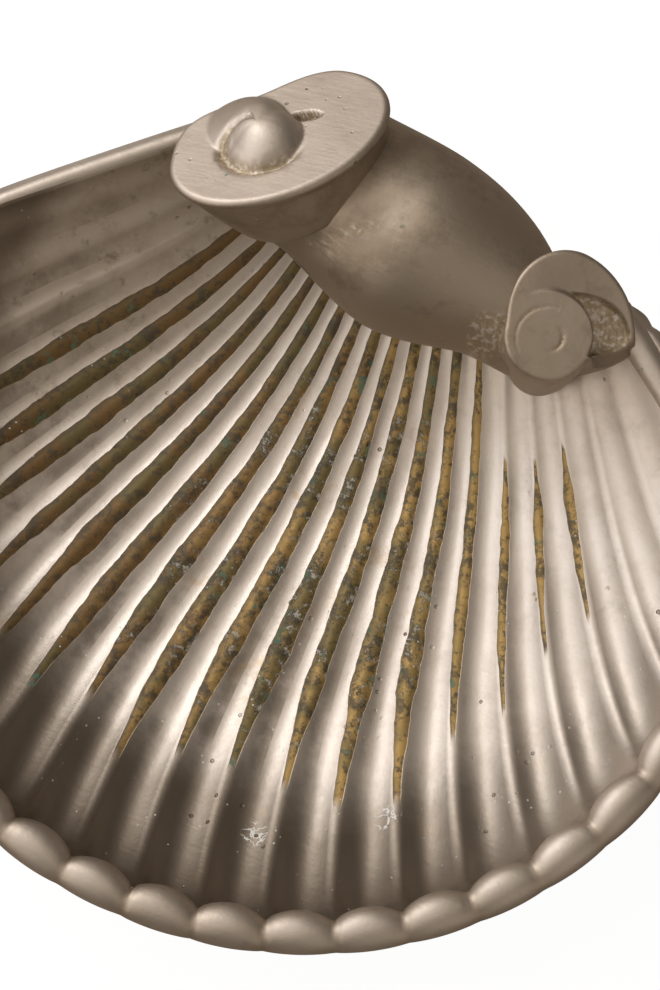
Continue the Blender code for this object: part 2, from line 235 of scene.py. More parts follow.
def rim_outward(angle):
    """Direction square to the rim, away from the bowl."""
    slope = (-2 * SHELL_RADIUS * math.sin(angle)
             - 3 * NARROWING * angle * abs(angle) / SIDE_ANGLE ** 3)
    run = (Vector((math.sin(angle), -math.cos(angle), 0.0)) * slope
           + Vector((math.cos(angle), math.sin(angle), 0.0)) * rim_distance(angle))
    return Vector((run.y, -run.x, 0.0)).normalized()


def hinge_point():
    """Where the hinge point is, worked out from the solid's box and its front beads."""
    angle = FLUTE_ANGLE / 2
    front = (rim_distance(angle) * math.cos(angle)
             - rim_outward(angle).y * (BEAD_OUTSET + BEAD_RADIUS))
    return Vector((0.0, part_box("shell_dish")[0][1] + front, BOWL_DEPTH + RIDGE_HEIGHT + WALL))


HINGE = hinge_point()


def ridge_wave(angle):
    """0 on a ridge's worn crest, 1 in the middle of a flute."""
    wave = abs(math.sin(math.pi * (angle / FLUTE_ANGLE)))
    return max(wave - RIDGE_FLAT, 0.0) / (1.0 - RIDGE_FLAT)


def bowl_line(u, v):
    """A line from the hinge to the rim: its side, angle, start and reach, and how far v is."""
    across = 2 * u - 1
    angle = across * SIDE_ANGLE
    reach = rim_distance(angle)
    start = (BACK_SETBACK + BACK_SLANT * across) / math.cos(angle)
    along = 1.0 - v ** ROW_CROWDING
    return across, angle, start, reach, start + (reach - start) * along, along


def bowl_point(u, v):
    """A point of the bowl's inner surface; v is 0 at the rim and 1 at the hinge."""
    across, angle, start, reach, distance, along = bowl_line(u, v)
    share = min(distance / reach, 1.0)
    inner = 1 - across ** 2
    # The ridges sway a little on their way out, and lean in towards the hinge.
    sway = RIDGE_SWAY * math.sin(2 * math.pi * max(0.0, (share - 0.25) / 0.75))
    wander = RIDGE_WANDER * noise.noise(Vector((angle / FLUTE_ANGLE * 0.9, share * 4.0, 3.0)))
    swing = angle * (1 - RIDGE_SPREAD * (1 - share) * inner) + (sway + wander) * inner
    flute = RIDGE_HEIGHT * ridge_wave(angle) * along * (1 - abs(across) ** 12)
    ripple = RIPPLE_HEIGHT * noise.noise(Vector((across * 21.0, share * 13.0, 0.0))) * inner
    sunk = (flute + ripple) * min((1 - share) * 70, 1.0)
    # The flutes are sunk square to the bowl's surface, so its slope is needed.
    depth = bowl_depth(distance, angle, start)
    step = 0.0002
    slope = (bowl_depth(distance + step, angle, start)
             - bowl_depth(distance - step, angle, start)) / (2 * step)
    slope = max(-4.0, min(0.0, slope))
    lean = math.hypot(1.0, slope)
    distance -= sunk * slope / lean
    # The left side is drawn in near the scroll.
    tuck = SIDE_TUCK * max(0.0, TUCK_END - distance) * smooth((-across - 0.4) / 0.6)
    return Vector((distance * math.sin(swing) + tuck, -distance * math.cos(swing) - tuck,
                   -depth - sunk / lean))


def bowl_depth(distance, angle, start):
    """Depth of the bowl below the rim, before the flutes are sunk into it."""
    share = min(distance / rim_distance(angle), 1.0)
    run = max(distance - start, 0.0) * math.cos(angle)
    front = (1 - share ** FRONT_CURVE[0]) ** FRONT_CURVE[1]
    side = (1 - min(abs(angle) / SIDE_ANGLE, 1.0) ** SIDE_CURVE[0]) ** SIDE_CURVE[1]
    back = math.sqrt(1 - (1 - min(run / HINGE_RUN, 1.0)) ** 2)
    return BOWL_DEPTH * front * side * back


def make_bowl(inside, outside):
    """The fluted bowl with its wall. Its UV map holds the ridge's number and the way out."""
    bowl = grid_piece("fluted_bowl", RIDGES * COLUMNS_PER_FLUTE, ROWS_TO_HINGE, bowl_point)
    layer = bowl.data.uv_layers[0]
    layer.name = "flutes"
    for point in layer.uv:
        u, v = point.vector
        across, angle, start, reach, distance, along = bowl_line(u, v)
        point.vector = ((u - 0.5) * RIDGES, distance / reach)
    for material in (inside, outside):
        bowl.data.materials.append(material)
    wall = bowl.modifiers.new("wall", "SOLIDIFY")
    wall.thickness = WALL
    wall.offset = -1.0
    wall.use_even_offset = True
    wall.material_offset = 1
    wall.material_offset_rim = 1
    bpy.ops.object.modifier_apply(modifier="wall")
    return finish_piece(bowl)


def roll_piece(name, sides, steps, drop, shape, material):
    """A closed roll along the round rim; shape(angle) is its outset and its thickness."""
    darkened = []

    def place(u, v):
        step = v * steps
        angle = SIDE_ANGLE * (2 * max(0.0, min(1.0, (step - 1) / (steps - 2))) - 1)
        outset, thick = shape(angle)
        if step < 0.5 or step > steps - 0.5:
            thick = 0.0
        outward = rim_outward(angle)
        turn = 2 * math.pi * u
        notch = 1 - abs(math.sin(math.pi * angle / FLUTE_ANGLE)) ** 0.5
        # Painted shade: the roll is darkened in the notches between the beads and on its underside.
        darkened.append(min(1.0, notch + smooth(0.35 - 1.2 * math.sin(turn))))
        return (Vector((math.sin(angle), -math.cos(angle), 0.0)) * rim_distance(angle) - UP * drop
                + outward * outset + (outward * math.cos(turn) + UP * math.sin(turn)) * thick)

    roll = grid_piece(name, sides, steps, place)
    paint(roll, "dulled_and_shaded", darkened)
    return finish_piece(close_up(roll), material)


def bead_shape(angle):
    """Outset and thickness of the beaded roll: full at a flute, pinched at a ridge."""
    lobe = abs(math.sin(math.pi * angle / FLUTE_ANGLE)) ** 0.6
    number = math.floor(angle / FLUTE_ANGLE)
    uneven = BEAD_UNEVEN * abs(noise.cell(Vector((number, 0.5, 0.5))))
    full = BEAD_RADIUS - NOTCH_DEPTH * (1 - lobe) - uneven
    from_end = (SIDE_ANGLE - abs(angle)) / FLUTE_ANGLE
    thick = RIM_END_RADIUS + (full - RIM_END_RADIUS) * min(from_end, 1.0)
    return BEAD_OUTSET + NOTCH_OUTSET * (1 - lobe), thick


def edge_shape(angle):
    """Outset and thickness of the plain roll under the beads, the same all along."""
    return EDGE_OUTSET, EDGE_RADIUS


def left_face_height(x, y):
    """Height and roughness of the left volute's face: snail nose, its groove and deep slot."""
    # The nose is steep on its right and runs out gently below.
    px = x - NOSE_AT[0]
    py = y - NOSE_AT[1]
    reach = math.hypot(px, py)
    turn = math.degrees(math.atan2(py, px))
    ramp = around(turn, -78, 80)
    base = NOSE_RADIUS * (1 + 0.95 * ramp)
    height = NOSE_HEIGHT * max(0.0, 1 - (reach / base) ** 1.9) ** 0.9
    height *= 1 - 0.42 * px / NOSE_RADIUS * min(1.0, reach / NOSE_RADIUS * 1.4)
    wobble = noise.noise(Vector((x * 900, y * 900, 0.0)))
    # The groove rings the nose, then curls in over it at the lower left.
    curl = smooth((-10 - turn) / 75)
    groove_at = NOSE_RADIUS * (1.06 - 0.66 * curl) + 0.0003 * wobble
    open_end = around(turn, 30, 128) if turn > 30 else 1 - smooth((-70 - turn) / 30)
    width = GROOVE_WIDTH + 0.0005 * curl
    groove = math.exp(-((reach - groove_at) / width) ** 2) * smooth(open_end * 2)
    turned = Matrix.Rotation(SLOT_TURN, 2) @ (Vector((x, y)) - SLOT_AT)
    half_width = SLOT_HALF_WIDTH + 0.0003 * wobble
    hole = 1 - (turned.x / SLOT_HALF_LENGTH) ** 2 - (turned.y / half_width) ** 2
    slot = max(0.0, min(1.0, hole * 2))
    fine = noise.noise(Vector((x * 3500, y * 3500, 5.0)))
    height -= groove * (GROOVE_DEPTH - 0.00055 * curl + 0.00014 * fine) + slot * SLOT_DEPTH
    return height, max(groove * 0.55 * (1 - curl), slot)


def station(centre, forward, half_width, half_height):
    """One station of the scroll's body."""
    return [centre, forward.normalized(), half_width, half_height]


def blended(before, start, end, after, share):
    """Smooth value between start and end, led by their neighbours."""
    return start + 0.5 * ((end - before) * share
                          + (2 * before - 5 * start + 4 * end - after) * share ** 2
                          + (3 * start - before - 3 * end + after) * share ** 3)


def body_stations():
    """Stations from under the left volute's lip to inside the right volute."""
    out = facing(LEFT_LEAN, LEFT_HEADING)
    stub_at = Vector((RIGHT_FACE_AT.x, RIGHT_FACE_AT.y, SHOULDER_AT.z))
    given = [
        station(LEFT_FACE_AT - out * LEFT_LIP, -out,
                LEFT_LONG_RADIUS - BODY_INSET, LEFT_SHORT_RADIUS - BODY_INSET),
        station(LEFT_FACE_AT.lerp(NECK_AT, 0.52) - out * LEFT_LIP,
                (NECK_AT - LEFT_FACE_AT).normalized() - out, *FLARE_HALVES),
        station(NECK_AT, BARREL_AT - NECK_AT, *NECK_HALVES),
        station(BARREL_AT, SHOULDER_AT - NECK_AT, *BARREL_HALVES),
        station(SHOULDER_AT, SHOULDER_AT - BARREL_AT, *SHOULDER_HALVES),
        station(stub_at, stub_at - SHOULDER_AT, RIGHT_RADIUS, RIGHT_RADIUS),
    ]
    filled = []
    for index in range(len(given) - 1):
        four = [given[max(index - 1, 0)], given[index], given[index + 1],
                given[min(index + 2, len(given) - 1)]]
        for step in range(STEPS_PER_STATION):
            share = step / STEPS_PER_STATION
            filled.append([blended(*parts, share) for parts in zip(*four)])
    filled.append(given[-1])
    return filled


def make_scroll(material):
    """Left volute's face, its lip and the body of the scroll, as one wrapped surface."""
    out = facing(LEFT_LEAN, LEFT_HEADING)
    side, rise = section_axes(-out)
    face_rows = 64
    lip_rows = 6
    stations = body_stations()
    rows = face_rows + lip_rows + len(stations)
    rough = []
    darkened = []

    def place(u, v):
        row = round(v * rows)
        turn = 2 * math.pi * u
        # The oval is flattened on the side of the bowl and a little fuller beside that.
        pull = 1 - 0.19 * around(360 * u, 266, 48) + 0.05 * around(360 * u, 305, 34)
        wide = LEFT_LONG_RADIUS * pull - LEFT_LIP_ROUND
        high = LEFT_SHORT_RADIUS * pull - LEFT_LIP_ROUND
        if row <= face_rows:
            ring = row / face_rows
            x = NOSE_AT[0] * (1 - ring) + wide * math.cos(turn) * ring
            y = NOSE_AT[1] * (1 - ring) + high * math.sin(turn) * ring
            height, recess = left_face_height(x, y)
            rough.append(recess)
            darkened.append(0.0)
            return LEFT_FACE_AT + side * x + rise * y + out * height
        rough.append(0.0)
        darkened.append(smooth((row - face_rows) / lip_rows))
        if row <= face_rows + lip_rows:
            bend = math.radians(125.0) * (row - face_rows) / lip_rows
            grow = LEFT_LIP_ROUND * math.sin(bend)
            return (LEFT_FACE_AT + side * (wide + grow) * math.cos(turn)
                    + rise * (high + grow) * math.sin(turn)
                    - out * LEFT_LIP_ROUND * (1 - math.cos(bend)))
        index = row - face_rows - lip_rows - 1
        if index >= len(stations) - 1:
            return stations[-1][0].copy()
        centre, forward, half_width, half_height = stations[index]
        across, upward = section_axes(forward.normalized())
        degrees = 360 * u
        # A crease with file marks runs round the body where it leaves the flare.
        crease_at = 28 + 5 * smooth((degrees - 10) / 90)
        crease = math.exp(-((index - crease_at) / 1.2) ** 2) * around(degrees, 52, 62)
        shrink = 1 - CREASE_DEPTH * crease - (1 - pull) * max(0.0, 1 - index / 13)
        point = (centre + across * half_width * shrink * math.cos(turn)
                 + upward * half_height * shrink * math.sin(turn))
        rough[-1] = max(0.45 * crease * abs(noise.noise(point * 700)) * 2, torn_web(point))
        return point

    scroll = grid_piece("scroll", 160, rows, place)
    paint(scroll, "rough_cast", rough)
    paint(scroll, "dulled_and_shaded", darkened)
    return finish_piece(close_up(scroll), material)


def torn_web(point):
    """Where the metal was left rough beside the right volute: 0.6 there, 0 elsewhere."""
    side, rise = section_axes(-facing(RIGHT_LEAN, RIGHT_HEADING))
    offset = point - RIGHT_FACE_AT
    reach = math.hypot(offset.dot(side), offset.dot(rise))
    turn = math.degrees(math.atan2(offset.dot(rise), offset.dot(side)))
    ragged = 0.0012 * noise.noise(point * 600)
    near = smooth((0.0125 - reach + ragged) / 0.0015) * smooth((reach - 0.0060) / 0.0010)
    return 0.6 * near * around(turn, 158, 42) * smooth((0.0085 - point.z) / 0.0015)


def volute_reach(angle):
    """Outer radius of the right volute: its face, and the outer turn on the far side."""
    turn = (angle + 180) % 360 - 180
    if turn < -19:
        outer = smooth((turn + 50) / 31)
    else:
        outer = smooth((150 - turn) / 105)
    return RIGHT_RADIUS + OUTER_TURN * outer


def volute_top(reach, angle):
    """Height and roughness of the right volute's top."""
    # A sunk ground opens between the face and its outer turn, which also lies lower.
    turn = (angle + 180) % 360 - 180
    opening = smooth((52 - turn) / 75) if turn > -60 else 0.0
    outer = RIGHT_RADIUS + OPENING_WIDTH * opening
    fine = noise.noise(Vector((reach * 2600, angle * 0.14, 0.0)))
    inside = smooth((reach - RIGHT_RADIUS * 0.985) / 0.0006)
    beyond = smooth((reach - outer) / 0.0009)
    sunk = inside * (1 - beyond) * smooth((54 - turn) / 26)
    band = -OUTER_TURN_FALL * smooth((105 - turn) / 125) * inside
    # A spiral line with a hooked end is cut into the face, and a gap into the ground's end.
    spiral_at = RIGHT_RADIUS * (0.99 - 0.36 * ((52 - turn) % 360) / 360)
    groove = math.exp(-((reach - spiral_at) / 0.00028) ** 2) * 0.6
    hook = math.exp(-((reach - HOOK_RADIUS) / 0.00030) ** 2) * around(angle, -40, 90)
    line = groove * around(angle, 110, 110) + hook
    gap = around(angle, -39, 13) * smooth((reach - RIGHT_RADIUS) / 0.0010)
    gap *= 1 - smooth((reach - GAP_END) / 0.0014)
    height = band - sunk * (GROUND_DEPTH + 0.00022 * fine) - line * SPIRAL_DEPTH - gap * GAP_DEPTH
    return height, max(0.62 * sunk, 0.5 * line, gap)


def make_volute(material):
    """Right volute: the small spiral face, the outer turn round it and its root."""
    out = facing(RIGHT_LEAN, RIGHT_HEADING)
    side, rise = section_axes(-out)
    top_rows = 56
    edge_rows = 6
    root_rows = 18
    rows = top_rows + edge_rows + root_rows
    rough = []

    def place(u, v):
        row = round(v * rows)
        angle = 360 * u
        turn = math.radians(angle)
        radial = side * math.cos(turn) + rise * math.sin(turn)
        outer = volute_reach(angle) - VOLUTE_EDGE
        rim_height = volute_top(outer, angle)[0]
        if row <= top_rows:
            reach = outer * row / top_rows
            height, recess = volute_top(reach, angle)
            rough.append(recess)
            return RIGHT_FACE_AT + radial * reach + out * height
        rough.append(0.0)
        if row <= top_rows + edge_rows:
            bend = math.radians(90.0) * (row - top_rows) / edge_rows
            return (RIGHT_FACE_AT + radial * (outer + VOLUTE_EDGE * math.sin(bend))
                    + out * (rim_height - VOLUTE_EDGE * (1 - math.cos(bend))))
        share = (row - top_rows - edge_rows) / root_rows
        if row == rows:
            return RIGHT_FACE_AT - UP * ROOT_DEPTH
        drop = VOLUTE_EDGE - rim_height + (ROOT_DEPTH - VOLUTE_EDGE + rim_height) * share
        web = WEB_WIDTH * around(angle, 150, 42) * smooth(share * 2.2) * (1 - share)
        reach = (outer + VOLUTE_EDGE - ROOT_RADIUS) * (1 - share ** 2) + ROOT_RADIUS + web
        point = RIGHT_FACE_AT + radial * reach - UP * drop
        rough[-1] = torn_web(point)
        return point

    volute = grid_piece("right_volute", 180, rows, place)
    paint(volute, "rough_cast", rough)
    paint(volute, "dulled_and_shaded", [1.0] * len(volute.data.vertices))
    return finish_piece(close_up(volute), material)


def make_rail(material):
    """The outer turn's tail, which runs out along the top of the right side."""
    along_side = Vector((math.sin(SIDE_ANGLE), -math.cos(SIDE_ANGLE), 0.0))
    inward = Vector((-math.cos(SIDE_ANGLE), -math.sin(SIDE_ANGLE), 0.0))
    rows = 40

    def place(u, v):
        turn = 2 * math.pi * u
        share = max(0.0, min(1.0, (v * rows - 1) / (rows - 2)))
        thick = RAIL_RADIUS - RAIL_TAPER * share
        if v * rows < 0.5 or v * rows > rows - 0.5:
            thick = 0.0
        centre = (along_side * (RAIL_START + RAIL_LENGTH * share)
                  + inward * RAIL_INSET * (1 - share) ** 2 - UP * (RAIL_DROP + RAIL_FALL * share))
        return centre + (inward * math.cos(turn) + UP * math.sin(turn)) * thick

    return finish_piece(close_up(grid_piece("right_rail", 20, rows, place)), material)


def make_seat(material):
    """The flat seat under the bowl."""
    height = RIDGE_HEIGHT + WALL * SEAT_BITE
    bpy.ops.object.select_all(action="DESELECT")
    bpy.ops.mesh.primitive_cone_add(vertices=96, radius1=SEAT_RADIUS, radius2=SEAT_TOP_RADIUS,
                                    depth=height)
    seat = bpy.context.object
    seat.name = "seat"
    for vert in seat.data.vertices:
        vert.co += Vector((0.0, SEAT_Y, -HINGE.z + height / 2)) + HINGE
    bevel = seat.modifiers.new("edge", "BEVEL")
    bevel.width = SEAT_EDGE
    bevel.segments = 3
    bpy.ops.object.modifier_apply(modifier="edge")
    finish_piece(seat, material)
    bpy.ops.object.shade_smooth_by_angle(angle=math.radians(35.0))
    return seat


class Value:
    """A number or a vector in a node tree. Arithmetic on it adds Math nodes."""

    def __init__(self, nodes, socket):
        self.nodes = nodes
        self.socket = socket

    def math(self, operation, *others):
        node = self.nodes.tree.nodes.new("ShaderNodeMath")
        node.operation = operation
        for slot, value in zip(node.inputs, (self, *others)):
            self.nodes.connect(value, slot)
        return Value(self.nodes, node.outputs[0])

    def __add__(self, other):
        return self.math("ADD", other)

    __radd__ = __add__

    def __mul__(self, other):
        return self.math("MULTIPLY", other)

    __rmul__ = __mul__

    def __sub__(self, other):
        return self.math("SUBTRACT", other)

    def __rsub__(self, other):
        return (self * -1.0) + other

    def __truediv__(self, other):
        return self.math("DIVIDE", other)

    def __abs__(self):
        return self.math("ABSOLUTE")

    def at_most(self, other):
        return self.math("MINIMUM", other)

    def at_least(self, other):
        return self.math("MAXIMUM", other)

    def step(self, low, high):
        """Eases from 0 at low to 1 at high."""
        return self.nodes.add("ShaderNodeMapRange", {"interpolation_type": "SMOOTHSTEP"},
                              {"Value": self, "From Min": low, "From Max": high})


class Nodes:
    """Adds nodes to a tree: one method for every type."""

    def __init__(self, tree):
        self.tree = tree

    def connect(self, value, slot):
        if isinstance(value, Value):
            self.tree.links.new(value.socket, slot)
        else:
            slot.default_value = value

    def add(self, kind, settings, inputs, output=0):
        node = self.tree.nodes.new(kind)
        for name, value in settings.items():
            setattr(node, name, value)
        for name, value in inputs.items():
            self.connect(value, node.inputs[name])
        return Value(self, node.outputs[output])

    def noise(self, vector, scale, detail=3.0, rough=0.5):
        return self.add("ShaderNodeTexNoise", {}, {"Vector": vector, "Scale": scale,
                                                   "Detail": detail, "Roughness": rough})

    def vector(self, x, y, z):
        return self.add("ShaderNodeCombineXYZ", {}, {"X": x, "Y": y, "Z": z})

    def mix(self, first, second, amount):
        """Colour from first to second."""
        return self.add("ShaderNodeMix", {"data_type": "RGBA"}, {0: amount, 6: first, 7: second}, 2)

    def object_point(self):
        return self.add("ShaderNodeTexCoord", {}, {}, "Object")


def new_material(name):
    """A node material, its nodes and its shader."""
    material = bpy.data.materials.new(name)
    material.use_nodes = True
    nodes = Nodes(material.node_tree)
    shader = material.node_tree.nodes["Principled BSDF"]
    return material, nodes, shader


def speckle(nodes, point, scale, size):
    """Small round pits or specks, 1 inside them."""
    cell = nodes.add("ShaderNodeTexVoronoi", {}, {"Vector": point, "Scale": scale})
    return 1.0 - cell.step(size * 0.5, size)


def cast_surface(nodes, point):
    """Unevenness of a hand-finished casting: soft dents, pits and fine scratches."""
    dents = nodes.noise(point, 140.0, 2.0)
    grain = nodes.noise(point, 1500.0, 3.0, 0.6)
    pits = speckle(nodes, point, 420.0, 0.16) * nodes.noise(point, 60.0, 2.0).step(0.57, 0.70)
    scratch_point = nodes.add("ShaderNodeMapping", {}, {
        "Vector": point, "Scale": (90.0, 1600.0, 400.0), "Rotation": (0.0, 0.0, 0.6)})
    scratches = nodes.noise(scratch_point, 1.0, 2.0)
    return dents, grain, pits, scratches


def bumped(nodes, height):
    """Surface direction over small heights, given as shares of BUMP_HEIGHT."""
    return nodes.add("ShaderNodeBump", {}, {"Height": height, "Distance": BUMP_HEIGHT,
                                            "Strength": 1.0})


# Colours of the plate, the bare metal under it, what lies on them and the painted shade on them
PLATE = (0.69, 0.625, 0.57, 1.0)
PLATE_DULL = (0.44, 0.37, 0.305, 1.0)
PLATE_DARK = (0.24, 0.195, 0.15, 1.0)
BRASS_GOLD = (0.46, 0.30, 0.105, 1.0)
BRASS_BROWN = (0.19, 0.112, 0.043, 1.0)
OLIVE = (0.155, 0.125, 0.05, 1.0)
TARNISH_AND_SHADE = (0.085, 0.07, 0.048, 1.0)
VERDIGRIS = (0.075, 0.20, 0.145, 1.0)
DEPOSIT = (0.50, 0.485, 0.43, 1.0)
ROUGH_GILT = (0.42, 0.34, 0.23, 1.0)
PLATE_DULLED_AND_SHADED = (0.43, 0.355, 0.28, 1.0)
FRONT_SHADE = (0.17, 0.135, 0.10, 1.0)
CHIP_WHITE = (0.78, 0.77, 0.74, 1.0)

# Wear of the bowl: strips of bare metal along the ridges, counted from the middle one, and two
# pale chips near the front, as places (ridge, share of the way from the hinge to the rim)
FIRST_STRIP = -8.6
LAST_STRIP = 9.5
STRIP_HALF_WIDTH = 0.235
STRIP_WAVER = 0.24
STRIP_DRIFT = 0.14
UPPER_END = 0.22
LOWER_END = 0.90
# Where the painted shade on the front wall begins, as a share of the way from the hinge to the rim
FRONT_SHADE_FROM = 0.80
CHIPS = ((1.65, 0.910), (3.85, 0.893))
CHIP_HALF_SIZE = (1.0 / 4.0, 1.0 / 70.0)

BUMP_HEIGHT = 0.00022
WHITE = (1.0, 1.0, 1.0, 1.0)
WARM_LIGHT = (1.0, 0.89, 0.76, 1.0)
KEY_LIGHT = (1.0, 0.985, 0.97, 1.0)


def worn_strips(nodes, index, share):
    """Strips where the plate is gone: 1 on bare metal, with each strip's side and half width."""
    number = index.math("ROUND")
    off = index - number
    own = nodes.add("ShaderNodeTexWhiteNoise", {"noise_dimensions": "1D"}, {"W": number * 3.7 + 0.3})
    other = nodes.add("ShaderNodeTexWhiteNoise", {"noise_dimensions": "1D"}, {"W": number * 5.1 + 9.1})
    waver = nodes.noise(nodes.vector(number * 1.7, share * 17.0, 0.0), 1.0, 3.0, 0.6) - 0.5
    drift = nodes.noise(nodes.vector(number * 2.3, share * 6.0, 4.0), 1.0, 2.0) - 0.5
    lower_end = LOWER_END - (index - 3.0).at_least(0.0) * 0.018 + (own - 0.5) * 0.05
    upper_end = UPPER_END + (index - 4.5).step(0.0, 1.6) * 0.30 + (index - 7.5).step(0.0, 1.6) * 0.18
    upper_end = upper_end + (-4.5 - index).step(0.0, 4.0) * 0.16 + (other - 0.5) * 0.05
    taper = (share - upper_end).step(0.0, 0.10) * (1.0 - (share - lower_end).step(-0.20, 0.0))
    present = (index - FIRST_STRIP).step(0.0, 0.2) * (LAST_STRIP - index).step(0.0, 0.2)
    half = STRIP_HALF_WIDTH - (index - 2.5).step(0.0, 4.0) * 0.10 + waver * STRIP_WAVER
    half = half * (0.25 + 0.75 * taper)
    worn = (half - abs(off + drift * STRIP_DRIFT + 0.01)).step(-0.010, 0.010)
    return worn * taper.step(0.02, 0.10) * present, off, half, waver


def bare_metal(nodes, point, index, off, half):
    """Colour of the bare strips: gold at the right, brown at the left, tarnished in patches, with
    painted shade on one side of each strip.
    """
    patches = nodes.noise(point, 95.0, 4.0, 0.6)
    leftness = (2.0 - index) / 12.0
    mottle = nodes.noise(point, 300.0, 8.0, 0.78)
    flecks = nodes.noise(point, 900.0, 4.0, 0.7)
    brass = nodes.mix(BRASS_GOLD, BRASS_BROWN, (leftness + mottle * 1.2 - 0.48).step(0.0, 0.6))
    olive = patches.step(0.46, 0.58) * (0.8 - (index - 2.0).step(0.0, 4.0) * 0.6)
    brass = nodes.mix(brass, OLIVE, olive)
    brass = nodes.mix(brass, TARNISH_AND_SHADE, (mottle + flecks * 0.6).step(0.78, 0.90) * 0.85)
    # Painted shade: each strip is darkened towards one side with the tarnish colour.
    shaded_side = (off * -1.0 / half.at_least(0.02)).step(0.2, 1.2)
    return nodes.mix(brass, TARNISH_AND_SHADE, shaded_side * 0.6)


def front_and_flank_shade(nodes, point, index, share, off, waver):
    """Painted shade: brown darkening under the front rim, and along one flank of each ridge."""
    flank = (off + 0.5 * waver).step(-0.02, 0.30) * (share - 0.58).step(0.0, 0.2)
    flank = flank * (5.0 - index).step(0.0, 4.0)
    cloudy = nodes.noise(point, 70.0, 5.0, 0.65)
    front = (share - FRONT_SHADE_FROM) + (cloudy - 0.5) * 0.10 - index * 0.004
    return (front.step(0.0, 0.10) * 0.85).at_least(flank * cloudy.step(0.40, 0.60) * 0.6)


def pale_chips(nodes, point, index, share):
    """Pale specks of dust in the front half, and the two chips."""
    dust = speckle(nodes, point, 620.0, 0.13) * nodes.noise(point, 120.0, 3.0).step(0.52, 0.60)
    lines = 1.0 - abs(nodes.noise(point, 520.0, 2.0) - 0.5).step(0.012, 0.035)
    chips = dust * (share - 0.5).step(0.0, 0.3) * 0.9
    for chip_index, chip_share in CHIPS:
        off_index = (index - chip_index) / CHIP_HALF_SIZE[0]
        off_share = (share - chip_share) / CHIP_HALF_SIZE[1]
        near = 1.0 - (off_index * off_index + off_share * off_share).step(0.5, 1.0)
        chips = chips.at_least(near * lines)
    return chips


def worn_plate():
    """Inside of the bowl: plate worn off the crests of the ridges down to the brass."""
    material, nodes, shader = new_material("worn_plate")
    point = nodes.object_point()
    place = nodes.add("ShaderNodeUVMap", {"uv_map": "flutes"}, {})
    index = nodes.add("ShaderNodeSeparateXYZ", {}, {"Vector": place})
    share = Value(nodes, index.socket.node.outputs[1])
    worn, off, half, waver = worn_strips(nodes, index, share)
    dents, grain, pits, scratches = cast_surface(nodes, point)
    brass = bare_metal(nodes, point, index, off, half)
    left_wall = (-4.0 - index).step(0.0, 5.0)
    middle = 1.0 - (abs(index - 0.5) / 4.5).step(0.4, 1.0)
    middle = middle * (1.0 - (abs(share - 0.62) / 0.25).step(0.3, 1.0))
    broad = nodes.noise(point, 26.0, 2.0)
    haze = nodes.noise(point, 160.0, 6.0, 0.72)
    dulling = broad.step(0.45, 0.7) * 0.3 + left_wall * 0.75 + haze.step(0.45, 0.68) * 0.25
    plate = nodes.mix(PLATE, PLATE_DULL, dulling.at_most(1.0))
    stain = nodes.noise(point, 210.0, 5.0, 0.7).step(0.54, 0.70)
    dark = (stain * (0.15 + 0.6 * left_wall) + pits * 0.6).at_most(1.0)
    plate = nodes.mix(plate, PLATE_DARK, dark)
    # Painted shade: the front wall under the rim and one flank of each ridge are darkened, less at the
    # right.
    front = front_and_flank_shade(nodes, point, index, share, off, waver)
    plate = nodes.mix(plate, FRONT_SHADE, front * (1.0 - (index - 4.0).step(0.0, 4.0) * 0.55))
    smudge = nodes.noise(point, 130.0, 5.0, 0.7).step(0.58, 0.68) * (middle * 0.5 + 0.12)
    plate = nodes.mix(plate, BRASS_GOLD, smudge * 0.6)
    colour = nodes.mix(plate, brass, worn)
    edge = worn * (1.0 - worn) * 4.0
    green = nodes.noise(point, 330.0, 3.0, 0.6).step(0.60, 0.66)
    green = green * nodes.noise(point, 45.0).step(0.46, 0.60) * (worn * 0.8 + edge).at_most(1.0)
    colour = nodes.mix(colour, VERDIGRIS, green * 0.8)
    crust = nodes.noise(point, 560.0, 6.0, 0.78).step(0.53, 0.61) * middle.step(0.0, 0.5) * worn
    crust = crust * nodes.noise(point, 120.0, 3.0).step(0.40, 0.56)
    colour = nodes.mix(colour, DEPOSIT, crust * 0.8)
    chips = pale_chips(nodes, point, index, share)
    colour = nodes.mix(colour, CHIP_WHITE, chips)
    dirt = nodes.noise(nodes.vector(index * 7.0, share * 40.0, 2.0), 1.0, 4.0, 0.7)
    colour = nodes.mix(colour, PLATE_DARK, dirt.step(0.64, 0.72) * middle * 0.6)
    chalk = (green + crust + chips).at_most(1.0)
    metal = (0.76 + front * 0.2 - chalk * 0.6 - worn * 0.24).at_least(0.0)
    rough = 0.37 + grain * 0.12 + left_wall * 0.10 + worn * 0.12 + chalk * 0.3 + pits * 0.2
    sink = worn * -0.35 + dents * 0.5 + grain * 0.12 - pits * 0.9 + scratches * 0.10 + crust * 0.5
    nodes.connect(colour, shader.inputs["Base Color"])
    nodes.connect(metal, shader.inputs["Metallic"])
    nodes.connect(rough, shader.inputs["Roughness"])
    nodes.connect(bumped(nodes, sink), shader.inputs["Normal"])
    return material


